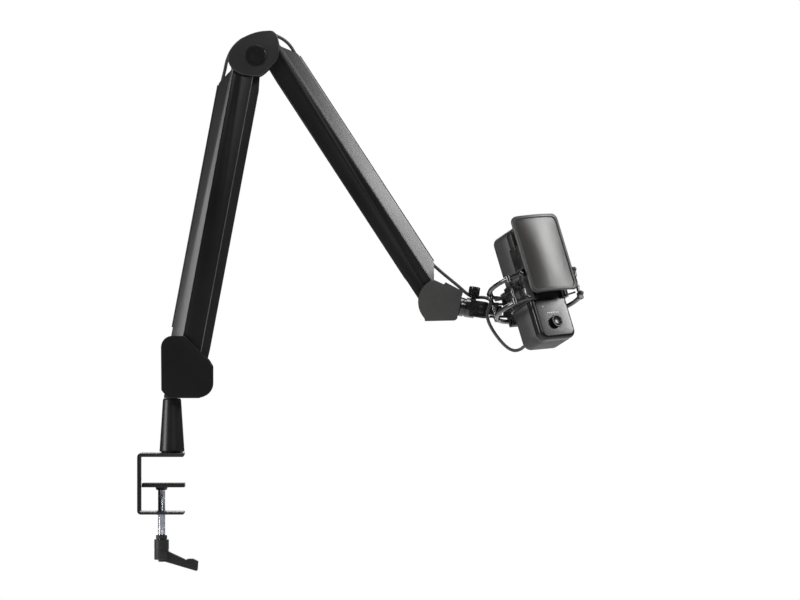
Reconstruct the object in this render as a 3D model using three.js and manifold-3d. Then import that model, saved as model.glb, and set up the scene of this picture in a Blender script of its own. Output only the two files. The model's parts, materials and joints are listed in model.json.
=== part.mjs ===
// Condenser microphone on an elastic mount and a two-part spring arm with a desk clamp.
// Millimetres, +Z up, +X from the clamp towards the microphone, front view along +Y.
// The origin lies on the riser's axis, on the face of the pad that rests on the desk.
import * as THREE from "three";
import { mergeVertices } from "three/addons/utils/BufferGeometryUtils.js";
import Module from "manifold-3d";

const wasm = await Module();
wasm.setup();

// ---------------------------------------------------------------- driving dimensions
const gap = 0.3;
const clamp = { left: -36.6, right: 13, top: 4, bottom: -61.8, plate: 2.8, corner: 4, half: 25 };
const screw = { x: -11.2, radius: 4, boss: 5.6, bossProud: 0.8, tip: -33.3, end: -106 };
const jaw = { left: -32, right: 13.8, half: 20, corner: 3, top: -30.1, bottom: -32.7, hub: -36 };
const lever = { top: -89, bottom: -111, shoulder: -91, radius: 7.9, bore: 4.8 };
const riser = { foot: 13.5, head: 9.6, top: 62.4, spigot: 6, spigotTop: 74 };
const armHalf = 18.5;
const cover = { inner: 19.3, outer: 22.5 };
const cheek = { inner: 7, outer: 9.6 };
const pinRadius = 3;
const lower = { pivot: [9.7, 97.3], tilt: 10.7, length: 334.4, depth: 17.6, cover: [39.3, 304.1] };
const upper = { pivot: [106, 440.5], tilt: 33.1, length: 313.7, depth: 21.7, cover: [25.6, 288.7] };
const lowerTie = { pivot: [30.1, 90.8], half: 6 };
const upperTie = { pivot: [99.7, 432.8], half: 6 };
const arm = { lip: 1.4, chamferY: 8.6, chamfer: 14.5, depth: 36.5, wall: 2, trough: 5.5, floor: 6.3 };
const cable = { radius: 1.75, depth: 4.3 };
const tip = { start: [309.3, 161.4], droop: 8.63, radius: 10.5, pivot: 23, screw: 13 };
const swivel = { x: 348, z: 157, radius: 7, half: 5 };
const mic = { centre: [388.1, -34.1, 180.8], halfWidth: 23.5, halfDepth: 19.5, halfHeight: 64.5, corner: 9 };
const shell = { wall: 2, rearRound: 6, frontRound: 4, split: -9 };
const ring = { radius: 47, rod: 2.5, upper: 7.5, lower: -20, mouth: 50 };
const pop = { halfWidth: 31.2, halfHeight: 43.6, z: 26.9, y: -33.2, corner: 7, strip: 3.4 };
const dial = { z: -46, radius: 6.6, proud: 3.5, cap: 1.4 };

// ---------------------------------------------------------------- finishes
const finish = (color, roughness, metalness) =>
  new THREE.MeshStandardMaterial({ color, roughness, metalness });
const black = finish(0x18181a, 0.45, 0.3);
const satin = finish(0x2b2b2d, 0.4, 0.5);
const plastic = finish(0x202022, 0.5, 0);
const housing = finish(0x454446, 0.6, 0);
const rubber = finish(0x141414, 0.9, 0);
const steel = finish(0xb8bcc6, 0.25, 1);
const mesh = finish(0x8d8883, 0.6, 0.4);
const gold = finish(0xc9a44c, 0.3, 1);
const board = finish(0x1d3d2a, 0.6, 0);

// ---------------------------------------------------------------- shape helpers
const radians = THREE.MathUtils.degToRad;
const root = new THREE.Group();

function outward(geometry) {
  const flat = geometry.index ? geometry.toNonIndexed() : geometry;
  const p = flat.attributes.position;
  const [a, b, c] = [new THREE.Vector3(), new THREE.Vector3(), new THREE.Vector3()];
  let volume = 0;
  for (let i = 0; i < p.count; i += 3) {
    a.fromBufferAttribute(p, i);
    b.fromBufferAttribute(p, i + 1);
    c.fromBufferAttribute(p, i + 2);
    volume += a.dot(b.cross(c));
  }
  return volume > 0;
}

// one closed, indexed surface with merged corners and no collapsed triangles
function closed(geometry) {
  const source = geometry.clone();
  source.deleteAttribute("normal");
  source.deleteAttribute("uv");
  const merged = mergeVertices(source, 1e-4);
  const index = merged.index.array;
  const flip = !outward(merged);
  const faces = [];
  for (let i = 0; i < index.length; i += 3) {
    const [a, b, c] = [index[i], index[i + 1], index[i + 2]];
    if (a === b || b === c || c === a) continue;
    faces.push(...(flip ? [a, c, b] : [a, b, c]));
  }
  merged.setIndex(faces);
  return merged;
}

function toSolid(geometry) {
  const shape = closed(geometry);
  const vertProperties = Float32Array.from(shape.attributes.position.array);
  const triVerts = Uint32Array.from(shape.index.array);
  return new wasm.Manifold(new wasm.Mesh({ numProp: 3, vertProperties, triVerts }));
}

function toGeometry(solid) {
  const found = solid.getMesh();
  const geometry = new THREE.BufferGeometry();
  const places = Float32Array.from(found.vertProperties);
  geometry.setAttribute("position", new THREE.BufferAttribute(places, 3));
  geometry.setIndex(Array.from(found.triVerts));
  return geometry;
}

const joined = (first, ...rest) =>
  toGeometry(rest.reduce((solid, next) => solid.add(toSolid(next)), toSolid(first)));
const cut = (first, ...rest) =>
  toGeometry(rest.reduce((solid, next) => solid.subtract(toSolid(next)), toSolid(first)));
const common = (a, b) => toGeometry(toSolid(a).intersect(toSolid(b)));

function add(name, geometry, material, parent = root) {
  const piece = new THREE.Mesh(closed(geometry), material);
  piece.name = name;
  parent.add(piece);
}

function group(x, y, z, turnY = 0) {
  const place = new THREE.Group();
  place.position.set(x, y, z);
  place.rotation.y = turnY;
  root.add(place);
  return place;
}

// corners are [x, y] or [x, y, radius], and a radius is made smaller where its edges are short
function outline(corners) {
  const shape = new THREE.Shape();
  corners.forEach(([x, y, r = 0], i) => {
    const before = corners[(i + corners.length - 1) % corners.length];
    const after = corners[(i + 1) % corners.length];
    const here = new THREE.Vector2(x, y);
    const back = new THREE.Vector2(before[0], before[1]).sub(here);
    const on = new THREE.Vector2(after[0], after[1]).sub(here);
    const room = 0.49 * Math.min(back.length(), on.length());
    back.normalize();
    on.normalize();
    const reach = r ? Math.min(room, r / Math.tan(Math.acos(back.dot(on)) / 2)) : 0;
    const enter = here.clone().addScaledVector(back, reach);
    const leave = here.clone().addScaledVector(on, reach);
    if (i === 0) shape.moveTo(enter.x, enter.y);
    else shape.lineTo(enter.x, enter.y);
    if (r) shape.quadraticCurveTo(x, y, leave.x, leave.y);
  });
  shape.closePath();
  return shape;
}

function rectangle(halfX, halfY, r) {
  return outline([[-halfX, -halfY, r], [halfX, -halfY, r], [halfX, halfY, r], [-halfX, halfY, r]]);
}

// an outline in X and Z, given thickness along Y
function slab(shape, yMin, yMax, curveSegments = 3) {
  const depth = yMax - yMin;
  const geometry = new THREE.ExtrudeGeometry(shape, { depth, bevelEnabled: false, curveSegments });
  return geometry.rotateX(Math.PI / 2).translate(0, yMax, 0);
}

// an outline in X and Y, given height along Z
function column(shape, zMin, zMax, curveSegments = 3) {
  const depth = zMax - zMin;
  const geometry = new THREE.ExtrudeGeometry(shape, { depth, bevelEnabled: false, curveSegments });
  return geometry.translate(0, 0, zMin);
}

// profile points are [radius, height] about Z
function turned(profile, sides = 16) {
  const points = profile.map(([r, z]) => new THREE.Vector2(r, z));
  return new THREE.LatheGeometry(points, sides).rotateX(Math.PI / 2);
}

function box(x0, x1, y0, y1, z0, z1) {
  const geometry = new THREE.BoxGeometry(x1 - x0, y1 - y0, z1 - z0);
  return geometry.translate((x0 + x1) / 2, (y0 + y1) / 2, (z0 + z1) / 2);
}

function rodY(radius, x, z, yMin, yMax, sides = 12) {
  const geometry = new THREE.CylinderGeometry(radius, radius, yMax - yMin, sides);
  return geometry.translate(x, (yMin + yMax) / 2, z);
}

function rodZ(radius, x, y, zMin, zMax, sides = 12) {
  const geometry = new THREE.CylinderGeometry(radius, radius, zMax - zMin, sides);
  return geometry.rotateX(Math.PI / 2).translate(x, y, (zMin + zMax) / 2);
}

function rodX(radius, y, z, xMin, xMax, sides = 12) {
  const geometry = new THREE.CylinderGeometry(radius, radius, xMax - xMin, sides);
  return geometry.rotateZ(-Math.PI / 2).translate((xMin + xMax) / 2, y, z);
}

// a round tube with closed ends along a curve
function tube(curve, radius, steps, sides = 8) {
  const section = new THREE.Shape();
  for (let i = 0; i < sides; i++) {
    const turn = (i / sides) * 2 * Math.PI;
    const [x, y] = [radius * Math.cos(turn), radius * Math.sin(turn)];
    if (i === 0) section.moveTo(x, y);
    else section.lineTo(x, y);
  }
  section.closePath();
  return new THREE.ExtrudeGeometry(section, { steps, extrudePath: curve, curveSegments: 1 });
}

// ---------------------------------------------------------------- desk clamp
function makeClamp() {
  const { left, right, top, bottom, plate, corner, half } = clamp;
  const inner = corner - plate;
  const bent = outline([
    [right, top], [left, top, corner], [left, bottom, corner], [right, bottom],
    [right, bottom + plate], [left + plate, bottom + plate, inner],
    [left + plate, top - plate, inner], [right, top - plate],
  ]);
  const [low, high] = [bottom - screw.bossProud, bottom + plate + screw.bossProud];
  const boss = rodZ(screw.boss, screw.x, 0, low, high);
  const bore = rodZ(screw.radius + gap, screw.x, 0, low - 1, high + 1);
  add("clamp_bracket", cut(joined(slab(bent, -half, half), boss), bore), black);
  const padEnd = left + corner;
  add("desk_pad", box(padEnd, right - 0.5, -half + 1, half - 1, 0, top - plate - gap), rubber);
}

function makePressurePlate() {
  const { left, right, half, corner, top, bottom, hub } = jaw;
  const shape = outline([[left, -half, corner], [right, -half, corner], [right, half, corner],
    [left, half, corner]]);
  const boss = turned([[0, bottom + 1], [6.8, bottom + 1], [6.8, bottom], [5.6, hub], [0, hub]])
    .translate(screw.x, 0, 0);
  const socket = rodZ(screw.radius + gap, screw.x, 0, hub - 1, bottom - gap);
  add("pressure_plate", cut(joined(column(shape, bottom, top), boss), socket), black);
  add("pressure_pad", column(shape, top + gap, top + 1.5), rubber);
}

function makeClampScrew() {
  const [collarTop, collarBottom] = [-84.4, -88.7];
  const { radius: r, tip: tipTop, end, boss } = screw;
  const profile = [[0, end], [r, end], [r, collarBottom], [boss, collarBottom], [boss, collarTop],
    [r, collarTop], [r, tipTop - 1], [r - 1, tipTop], [0, tipTop]];
  add("clamp_screw", turned(profile, 20).translate(screw.x, 0, 0), steel);
}

function makeLever() {
  const { top, bottom, shoulder, radius, bore: innerLow } = lever;
  const innerTop = screw.radius + gap;
  const hub = turned([[innerTop, top], [radius - 0.4, top], [radius, top - 0.4],
    [radius, bottom + 0.8], [radius - 0.8, bottom], [innerLow, bottom], [innerLow, shoulder],
    [innerTop, shoulder], [innerTop, top]], 20).translate(screw.x, 0, 0);
  const blade = outline([[-9, -99.5], [-4.3, -101.6], [15.6, -111], [16.8, -109.9, 1],
    [22.8, -109.7, 3], [28.3, -112.4, 0.6], [27.6, -123.4, 1.4], [-9, -112.6, 1]]);
  const bore = rodZ(innerLow, screw.x, 0, bottom - 5, shoulder, 20);
  add("clamp_lever", joined(hub, cut(slab(blade, -4.8, 4.8, 3), bore,
    rodZ(radius - 0.5, screw.x, 0, bottom - 5, top, 20))), plastic);
}

function makeRiser() {
  const { foot, head, top, spigot, spigotTop } = riser;
  const base = clamp.top + gap;
  add("riser_post", turned([[0, base], [foot - 2, base], [foot - 2, base + 1],
    [foot - 0.5, base + 1.2], [foot, base + 2.4], [head + 0.2, top - 1.6], [head - 0.8, top],
    [spigot, top], [spigot, spigotTop], [0, spigotTop]], 20), satin);
}

// ---------------------------------------------------------------- turret over the riser
function makeTurret() {
  const side = outline([[-11.3, 130, 15], [14.5, 129.8, 3], [39.8, 103.7, 4], [43.9, 97, 6],
    [43.9, 63.4, 15], [-3.8, 63.4, 1], [-10.8, 71.5, 2]]);
  add("base_cover_front", slab(side, -cover.outer, -cover.inner), black);
  add("base_cover_back", slab(side, cover.inner, cover.outer), black);
  const [ax, az] = lower.pivot;
  const [tx, tz] = lowerTie.pivot;
  const cheekSide = outline([[-4, 66.5], [35, 66.5], [tx + 7, tz, 4], [tx + 2, tz + 7, 4],
    [ax + 5, az + 8, 4], [ax - 8, az + 8, 6], [ax - 8, az - 6, 3]]);
  const floor = box(-8, 30, -armHalf, armHalf, riser.top + 0.5, 67);
  const hole = turned([[0, 60], [riser.spigot + gap, 60], [riser.spigot + gap, 70], [0, 70]], 20);
  const bores = [
    rodY(pinRadius + gap, ax, az, -20, 20),
    rodY(pinRadius + gap, tx, tz, -20, 20),
  ];
  const cheeks = [-1, 1].map((s) =>
    s < 0 ? slab(cheekSide, -cheek.outer, -cheek.inner) : slab(cheekSide, cheek.inner, cheek.outer));
  add("base_bracket", cut(joined(floor, ...cheeks), hole, ...bores), satin);
  add("base_arm_pin", rodY(pinRadius, ax, az, -cover.inner + gap, cover.inner - gap), steel);
  add("base_tie_pin", rodY(pinRadius, tx, tz, -cheek.outer - 1.5, cheek.outer + 1.5), steel);
}

// ---------------------------------------------------------------- arm parts
// In an arm's own frame X runs from its first pivot to its second and Z points to its outer face.
function armFrame({ pivot, tilt }, down) {
  const turn = down ? 90 - tilt : -(90 - tilt);
  return group(pivot[0], 0, pivot[1], radians(turn));
}

function armSection(pivotDepth) {
  const { lip, chamferY, chamfer, depth, wall, trough, floor } = arm;
  const inside = armHalf - wall;
  const half = [[trough, floor], [trough, lip], [chamferY, lip], [armHalf, chamfer],
    [armHalf, depth], [inside, depth], [inside, chamfer + 1], [trough + 4, floor + wall]];
  const mirror = half.map(([y, d]) => [-y, d]).reverse();
  return outline([...half, ...mirror].map(([y, d]) => [y, pivotDepth - d]));
}

function alongX(shape, xMin, xMax) {
  const turn = new THREE.Matrix4().makeBasis(
    new THREE.Vector3(0, 1, 0), new THREE.Vector3(0, 0, 1), new THREE.Vector3(1, 0, 0));
  const depth = xMax - xMin;
  const geometry = new THREE.ExtrudeGeometry(shape, { depth, bevelEnabled: false });
  return geometry.applyMatrix4(turn).translate(xMin, 0, 0);
}

function armChannel(spec, sideOutline) {
  const long = alongX(armSection(spec.depth), -40, spec.length + 40);
  const side = slab(sideOutline, -armHalf - 5, armHalf + 5);
  const bores = [0, spec.length].map((x) => rodY(pinRadius + gap, x, 0, -25, 25));
  return cut(common(long, side), ...bores);
}

function armCover({ depth, cover: [from, to] }) {
  const top = depth;
  const lid = outline([[-arm.chamferY, top - arm.lip + gap], [arm.chamferY, top - arm.lip + gap],
    [arm.chamferY - 0.6, top], [-arm.chamferY + 0.6, top]]);
  return alongX(lid, from, to);
}

function armSpring(z, from, to, turns) {
  const profile = [[0, from]];
  const step = (to - from - 12) / turns;
  profile.push([1.4, from], [1.4, from + 6]);
  for (let i = 0; i < turns; i++) {
    const start = from + 6 + i * step;
    profile.push([4.5, start + step * 0.25], [4.5, start + step * 0.7], [3.6, start + step]);
  }
  profile.push([1.4, to - 6], [1.4, to], [0, to]);
  return turned(profile, 8).rotateY(Math.PI / 2).translate(0, 0, z);
}

function tieBar(link, length, ends) {
  const { half } = link;
  const slim = 3.2;
  const shape = outline([[-5, -4.6, 3], [ends, -half], [length - ends, -half],
    [length - 8, -slim - 0.6], [length + 5, -4.6, 3], [length + 5, 4.6, 3], [length - 8, slim + 0.6],
    [length - ends, half], [ends, half], [-5, 4.6, 3]]);
  const bores = [0, length].map((x) => rodY(pinRadius + gap, x, 0, -10, 10));
  return cut(slab(shape, -5.5, 5.5, 3), ...bores);
}

function armCable({ depth, cover: [from, to] }) {
  return rodX(cable.radius, 0, depth - cable.depth, from + 2, to - 1, 8);
}

function makeLowerArm() {
  const place = armFrame(lower, false);
  const { length, depth } = lower;
  const inner = depth - arm.depth;
  const side = outline([[-17, 5, 6], [-17, -8, 10], [-8, inner, 6], [length - 10, inner, 2],
    [length + 8, -9, 6], [length + 12, 0, 7], [length + 4, 8.6, 6], [length - 12.1, 5.6, 1],
    [lower.cover[1], depth], [20, depth, 4], [-8, depth - 2, 8]]);
  add("lower_arm_channel", armChannel(lower, side), black, place);
  add("lower_arm_cover", armCover(lower), satin, place);
  add("lower_arm_cable", armCable(lower), rubber, place);
  add("lower_arm_spring", armSpring(2, 34, 190, 8), steel, place);
  const tie = group(lowerTie.pivot[0], 0, lowerTie.pivot[1], radians(-(90 - lower.tilt)));
  add("lower_tie_bar", tieBar(lowerTie, length, 26), black, tie);
}

function makeUpperArm() {
  const place = armFrame(upper, true);
  const { length, depth } = upper;
  const inner = depth - arm.depth;
  const side = outline([[-10.5, 6, 6], [-10.5, -7, 6], [6, -11, 6], [20.5, inner, 2],
    [length + 4.5, inner, 2], [length + 10.5, -7, 6], [length + 10.5, 6, 6],
    [length - 8, 10.2, 2], [upper.cover[1], depth], [upper.cover[0] - 0.5, depth],
    [16.5, depth - 5.4, 2], [7, 9.8, 2]]);
  add("upper_arm_channel", armChannel(upper, side), black, place);
  add("upper_arm_cover", armCover(upper), satin, place);
  add("upper_arm_cable", armCable(upper), rubber, place);
  add("upper_arm_spring", armSpring(6.6, 34, 190, 8), steel, place);
  const tie = group(upperTie.pivot[0], 0, upperTie.pivot[1], radians(90 - upper.tilt));
  add("upper_tie_bar", tieBar(upperTie, length, 30), black, tie);
}

// ---------------------------------------------------------------- elbow
// how far an arm's second pivot lies from its first, for an arm that goes up (1) or down (-1)
function armReach({ tilt, length }, way) {
  const lean = radians(tilt);
  return [length * Math.sin(lean), way * length * Math.cos(lean)];
}

const shifted = ([x, z], [dx, dz]) => [x + dx, z + dz];

function makeElbow() {
  const side = outline([[59.3, 424, 5], [60.7, 431.5, 4], [82, 451, 9], [94, 456.9, 9],
    [111, 456.9, 9], [115.2, 443, 8], [115.2, 429, 9], [113.5, 426.8, 3], [93, 408.2, 4],
    [73, 409, 12]]);
  add("elbow_cap_front", slab(side, -cover.outer, -cover.inner), satin);
  add("elbow_cap_back", slab(side, cover.inner, cover.outer), satin);
  const lowerPivot = shifted(lower.pivot, armReach(lower, 1));
  const tie = shifted(lowerTie.pivot, armReach(lower, 1));
  const [ux, uz] = upper.pivot;
  const [lx, lz] = lowerPivot;
  const plate = outline([[lx - 7, lz - 6, 5], [lx + 8, lz - 7, 3], [tie[0] - 4, tie[1] - 6, 4],
    [tie[0] + 6, tie[1] - 3, 4], [ux + 5, uz - 7, 4], [ux + 6.5, uz + 7, 6], [90, 449.5, 4],
    [82, 447, 4], [lx - 6, lz + 7.5, 5]]);
  const cheeks = [slab(plate, -cheek.outer, -cheek.inner), slab(plate, cheek.inner, cheek.outer)];
  const bar = rodY(4, 88, 445, -cover.inner + gap, cover.inner - gap);
  const [px, pz] = upperTie.pivot;
  const bores = [lowerPivot, tie, [px, pz], [ux, uz]].map(([x, z]) =>
    rodY(pinRadius + gap, x, z, -20, 20));
  add("elbow_bracket", cut(joined(bar, ...cheeks), ...bores), satin);
  const long = cover.inner - gap;
  const short = cheek.outer + 1.2;
  add("elbow_lower_pin", rodY(pinRadius, lx, lz, -long, long), steel);
  add("elbow_upper_pin", rodY(pinRadius, ux, uz, -long, long), steel);
  add("elbow_lower_tie_pin", rodY(pinRadius, tie[0], tie[1], -short, short), steel);
  add("elbow_upper_tie_pin", rodY(pinRadius, px, pz, -short, short), steel);
}

// ---------------------------------------------------------------- wrist and tip
function makeWrist() {
  const arc = { x: 290.3, z: 166.1, r: 25.8 };
  const side = new THREE.Shape();
  side.moveTo(271.9, 145.5);
  side.lineTo(303, 146.2);
  side.quadraticCurveTo(306.6, 146.4, 307.1, 149.6);
  side.lineTo(312, 174.6);
  side.lineTo(312.9, 177.4);
  side.lineTo(294.1, 187.3);
  side.lineTo(292.3, 185);
  side.lineTo(282.4, 189.6);
  side.absarc(arc.x, arc.z, arc.r, radians(109), radians(223), false);
  side.closePath();
  const [sx, sz] = tip.start;
  const turn = radians(tip.droop);
  const block = box(-9, -1.2, -cover.inner + gap, cover.inner + 0.2, -12.5, 12.5);
  const bore = rodX(6 + gap, 0, 0, -12, 3, 20);
  const nose = cut(block, bore).rotateY(turn).translate(sx, 0, sz);
  const main = shifted(upper.pivot, armReach(upper, -1));
  const tie = shifted(upperTie.pivot, armReach(upper, -1));
  const plate = outline([[302, 152, 1], [302, 171, 1], [main[0] + 4, main[1] + 7, 4],
    [main[0] - 6.5, main[1] + 6, 5], [tie[0] - 6, tie[1] + 1, 4], [tie[0], tie[1] - 6.5, 4]]);
  const cheeks = [slab(plate, -cheek.outer, -cheek.inner), slab(plate, cheek.inner, cheek.outer)];
  const bores = [main, tie].map(([x, z]) => rodY(pinRadius + gap, x, z, -15, 15));
  add("wrist_cover_front", slab(side, -cover.outer, -cover.inner, 6), housing);
  const housed = joined(slab(side, cover.inner, cover.outer, 6), nose, cut(joined(...cheeks), ...bores));
  add("wrist_housing", housed, housing);
  const [long, short] = [cover.inner - gap, cheek.outer + 1.2];
  add("wrist_arm_pin", rodY(pinRadius, ...main, -long, long), steel);
  add("wrist_tie_pin", rodY(pinRadius, ...tie, -short, short), steel);
}

function makeTip() {
  const place = group(tip.start[0], 0, tip.start[1], radians(tip.droop));
  const { radius, pivot } = tip;
  const r = radius;
  const drum = turned([[0, -8], [6, -8], [6, -0.8], [r - 1, -0.8], [r, 0.2], [r, 4], [r - 0.8, 4.4],
    [r - 0.8, 6], [r, 6.4], [r, 16.4], [0, 16.4]], 16).rotateY(Math.PI / 2);
  const fork = outline([[11, -9], [pivot, -9], [pivot + 8, -9, 8], [pivot + 8, 9, 8],
    [pivot, 9], [11, 9]]);
  const slot = box(16.6, 40, -5, 5, -12, 12);
  const bore = rodY(pinRadius + gap, pivot, 0, -12, 12);
  const stemHole = rodZ(2.5, tip.screw, 0, 3, 12);
  const solid = cut(joined(drum, slab(fork, -10, 10)), slot, bore, stemHole);
  add("tip_barrel", solid, satin, place);
  const thumb = turned([[0, 3.6], [2.2, 3.6], [2.2, 10.9], [4, 10.9], [4, 13.6], [5.4, 13.8],
    [6, 14.4], [6, 22.6], [5.4, 23.3], [0, 23.3]], 16).translate(tip.screw, 0, 0);
  add("tip_thumbscrew", thumb, plastic, place);
  add("tilt_pin", turned([[0, 11.4], [3.2, 11.4], [4, 10.9], [4, 10.3], [pinRadius, 10.3],
    [pinRadius, -9.8], [0, -9.8]], 16).rotateX(Math.PI / 2).translate(pivot, 0, 0), steel, place);
}

function makeTiltLug() {
  const turn = radians(tip.droop);
  const [px, pz] = [tip.start[0] + tip.pivot * Math.cos(turn), tip.start[1] - tip.pivot * Math.sin(turn)];
  const { x, z, half } = swivel;
  const neck = box(px + 1, x - 3, -4.7, 4.7, z - 4.6, z + 4.6);
  const lug = rodY(6, px, pz, -4.7, 4.7, 20);
  const eye = rodZ(6.5, x, 0, z - half, z + half, 20);
  const bores = [rodY(pinRadius + gap, px, pz, -8, 8), rodZ(pinRadius + gap, x, 0, z - 9, z + 9)];
  add("tilt_lug", cut(joined(neck, lug, eye), ...bores), black);
}

// ---------------------------------------------------------------- microphone frame
// In the microphone's own frame X is its width, Z its height, and -Y the way it faces.
const micBasis = new THREE.Matrix4().makeBasis(
  new THREE.Vector3(0.7954, 0.602, 0.0695).normalize(),
  new THREE.Vector3(-0.5408, 0.7568, -0.3661).normalize(),
  new THREE.Vector3(-0.2727, 0.2538, 0.9276).normalize(),
);
const micPlace = new THREE.Group();
micPlace.quaternion.setFromRotationMatrix(micBasis);
micPlace.position.set(...mic.centre);
root.add(micPlace);
micPlace.updateMatrix();
const micInverse = micPlace.matrix.clone().invert();

function ringCurve(radius, z) {
  const points = [];
  const count = 16;
  const reach = radians(180 - ring.mouth);
  for (let i = 0; i <= count; i++) {
    const turn = -reach + (2 * reach * i) / count;
    points.push(new THREE.Vector3(radius * Math.sin(turn), radius * Math.cos(turn), z));
  }
  return new THREE.CatmullRomCurve3(points);
}

function makeShockRings() {
  for (const [name, z] of [["ring_upper", ring.upper], ["ring_lower", ring.lower]]) {
    add(name, tube(ringCurve(ring.radius, z), ring.rod, 20), black, micPlace);
  }
  const [low, high] = [ring.lower + ring.rod + gap, ring.upper - ring.rod - gap];
  const places = { front_left: [-44, -18], front_right: [44, -18], back_left: [-33.5, 33],
    back_right: [33.5, 33] };
  for (const [name, [x, y]] of Object.entries(places)) {
    const post = turned([[0, low], [3.2, low], [3.2, low + 2], [1.8, low + 3], [1.8, high - 3],
      [3.2, high - 2], [3.2, high], [0, high]], 12).translate(x, y, 0);
    add(`post_${name}`, post, plastic, micPlace);
  }
}

function makeMountBlock() {
  const clear = ring.rod + gap;
  const rings = [ring.upper, ring.lower].map((z) => tube(ringCurve(ring.radius, z), clear, 20));
  const block = box(-6, 9, 43, 50.5, ring.lower - 5, ring.upper + 5);
  const grooved = cut(block, ...rings);
  const { x, z, half, radius } = swivel;
  const arms = [rodZ(radius, x, 0, z + half + gap, z + half + 3, 20),
    rodZ(radius, x, 0, z - half - 3, z - half - gap, 20)];
  const web = box(x + 8, x + 17, -7, 6, z - half - 3, z + half + 3);
  const strips = [box(x, x + 9, -6, 6, z + half + gap, z + half + 3),
    box(x, x + 9, -6, 6, z - half - 3, z - half - gap)];
  const yoke = joined(web, ...arms, ...strips).applyMatrix4(micInverse);
  const bore = rodZ(pinRadius + gap, x, 0, z - 12, z + 12).applyMatrix4(micInverse);
  add("mount_block", cut(joined(grooved, cut(yoke, ...rings)), bore), plastic, micPlace);
  add("swivel_pin", rodZ(pinRadius, x, 0, z - half - 3.6, z + half + 3.6), steel);
}

function makeCradle() {
  const [halfX, halfY, thick] = [mic.halfWidth + 1, mic.halfDepth + 1, 1.8];
  const outer = column(rectangle(halfX + thick, halfY + thick, 9), ring.lower, ring.upper);
  const inner = column(rectangle(halfX, halfY, 7), ring.lower - 1, ring.upper + 1);
  const mouth = box(-16.5, 16.5, -40, -10, ring.lower - 1, ring.upper + 1);
  const window = box(-40, 40, -6, 6, ring.lower + 7, ring.upper - 7);
  add("cradle", cut(outer, inner, mouth, window), satin, micPlace);
}

function makeBands() {
  const loop = [[-41, -15.8], [-29.4, -2], [-28.6, 10], [-31.6, 29.4], [-16, 24.8],
    [0, 23.4], [16, 24.8], [31.6, 29.4], [28.6, 10], [29.4, -2], [41, -15.8]];
  for (const [name, z] of [["band_upper", ring.upper - 7.6], ["band_lower", ring.lower + 6.4]]) {
    const curve = new THREE.CatmullRomCurve3(loop.map(([x, y]) => new THREE.Vector3(x, y, z)));
    add(name, tube(curve, 0.9, 22, 6), rubber, micPlace);
  }
}

function bodyShape(inset) {
  return rectangle(mic.halfWidth - inset, mic.halfHeight - inset, mic.corner - inset);
}

// a shell face with a rounded rim: its rim is at y = rimY and its crown at y = crownY
function dished(inset, rimY, crownY, round) {
  const depth = Math.abs(crownY - rimY) - round;
  const geometry = new THREE.ExtrudeGeometry(bodyShape(inset + round), {
    depth, bevelEnabled: true, bevelThickness: round, bevelSize: round, bevelSegments: 2,
    curveSegments: 4 });
  geometry.rotateX(crownY > rimY ? -Math.PI / 2 : Math.PI / 2);
  return geometry.translate(0, rimY, 0);
}

function makeMicShells() {
  const { wall, rearRound, frontRound, split } = shell;
  const [w, h, deep] = [mic.halfWidth + 2, mic.halfHeight + 2, mic.halfDepth];
  const rear = common(dished(0, split - 12, deep, rearRound), box(-w, w, split, 30, -h, h));
  const rearSpace = common(dished(wall, split - 12, deep - wall, rearRound - 1),
    box(-w, w, split - 1, 30, -h, h));
  const socket = box(-5, 5, 14, 24, -52.5, -47.5);
  add("rear_shell", cut(rear, rearSpace, socket), plastic, micPlace);
  const front = common(dished(0, split + 12, -deep, frontRound), box(-w, w, -30, split - gap, -h, h));
  const frontSpace = common(dished(wall, split + 12, wall - deep, frontRound - 1),
    box(-w, w, -30, split, -h, h));
  const frame = cut(front, frontSpace);
  const seam = -19.5;
  const dialHole = rodY(2.6, 0, dial.z, -30, 0);
  add("front_panel", cut(common(frame, box(-w, w, -30, 0, -h, seam)), dialHole), black, micPlace);
  add("front_grille", common(frame, box(-w, w, -30, 0, seam + gap, h)), satin, micPlace);
}

function makeMicInside() {
  add("circuit_board", box(-17, 17, -1, 0.6, -57, 10), board, micPlace);
  const capsule = turned([[0, -4], [8.5, -4], [8.5, 3], [7, 4], [0, 4]], 20);
  add("capsule", capsule.rotateX(-Math.PI / 2).translate(0, -4, 30), gold, micPlace);
  const shaft = turned([[0, 3.2], [4, 3.2], [4, 8], [2.2, 8], [2.2, 21.4], [0, 21.4]], 16);
  add("encoder_shaft", shaft.rotateX(Math.PI / 2).translate(0, 0, dial.z), steel, micPlace);
}

function makeDial() {
  const { radius, proud, z, cap: thick } = dial;
  const face = mic.halfDepth + 0.6;
  const top = face + proud;
  const under = top - thick;
  const cap = turned([[0, under], [radius, under], [radius, top - 0.6], [radius - 0.6, top],
    [0, top]], 24);
  const skirt = turned([[2.5, face], [radius, face], [radius, under + 0.2], [2.5, under + 0.2],
    [2.5, face]], 24);
  add("dial", joined(cap, skirt).rotateX(Math.PI / 2).translate(0, 0, z), plastic, micPlace);
}

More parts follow.
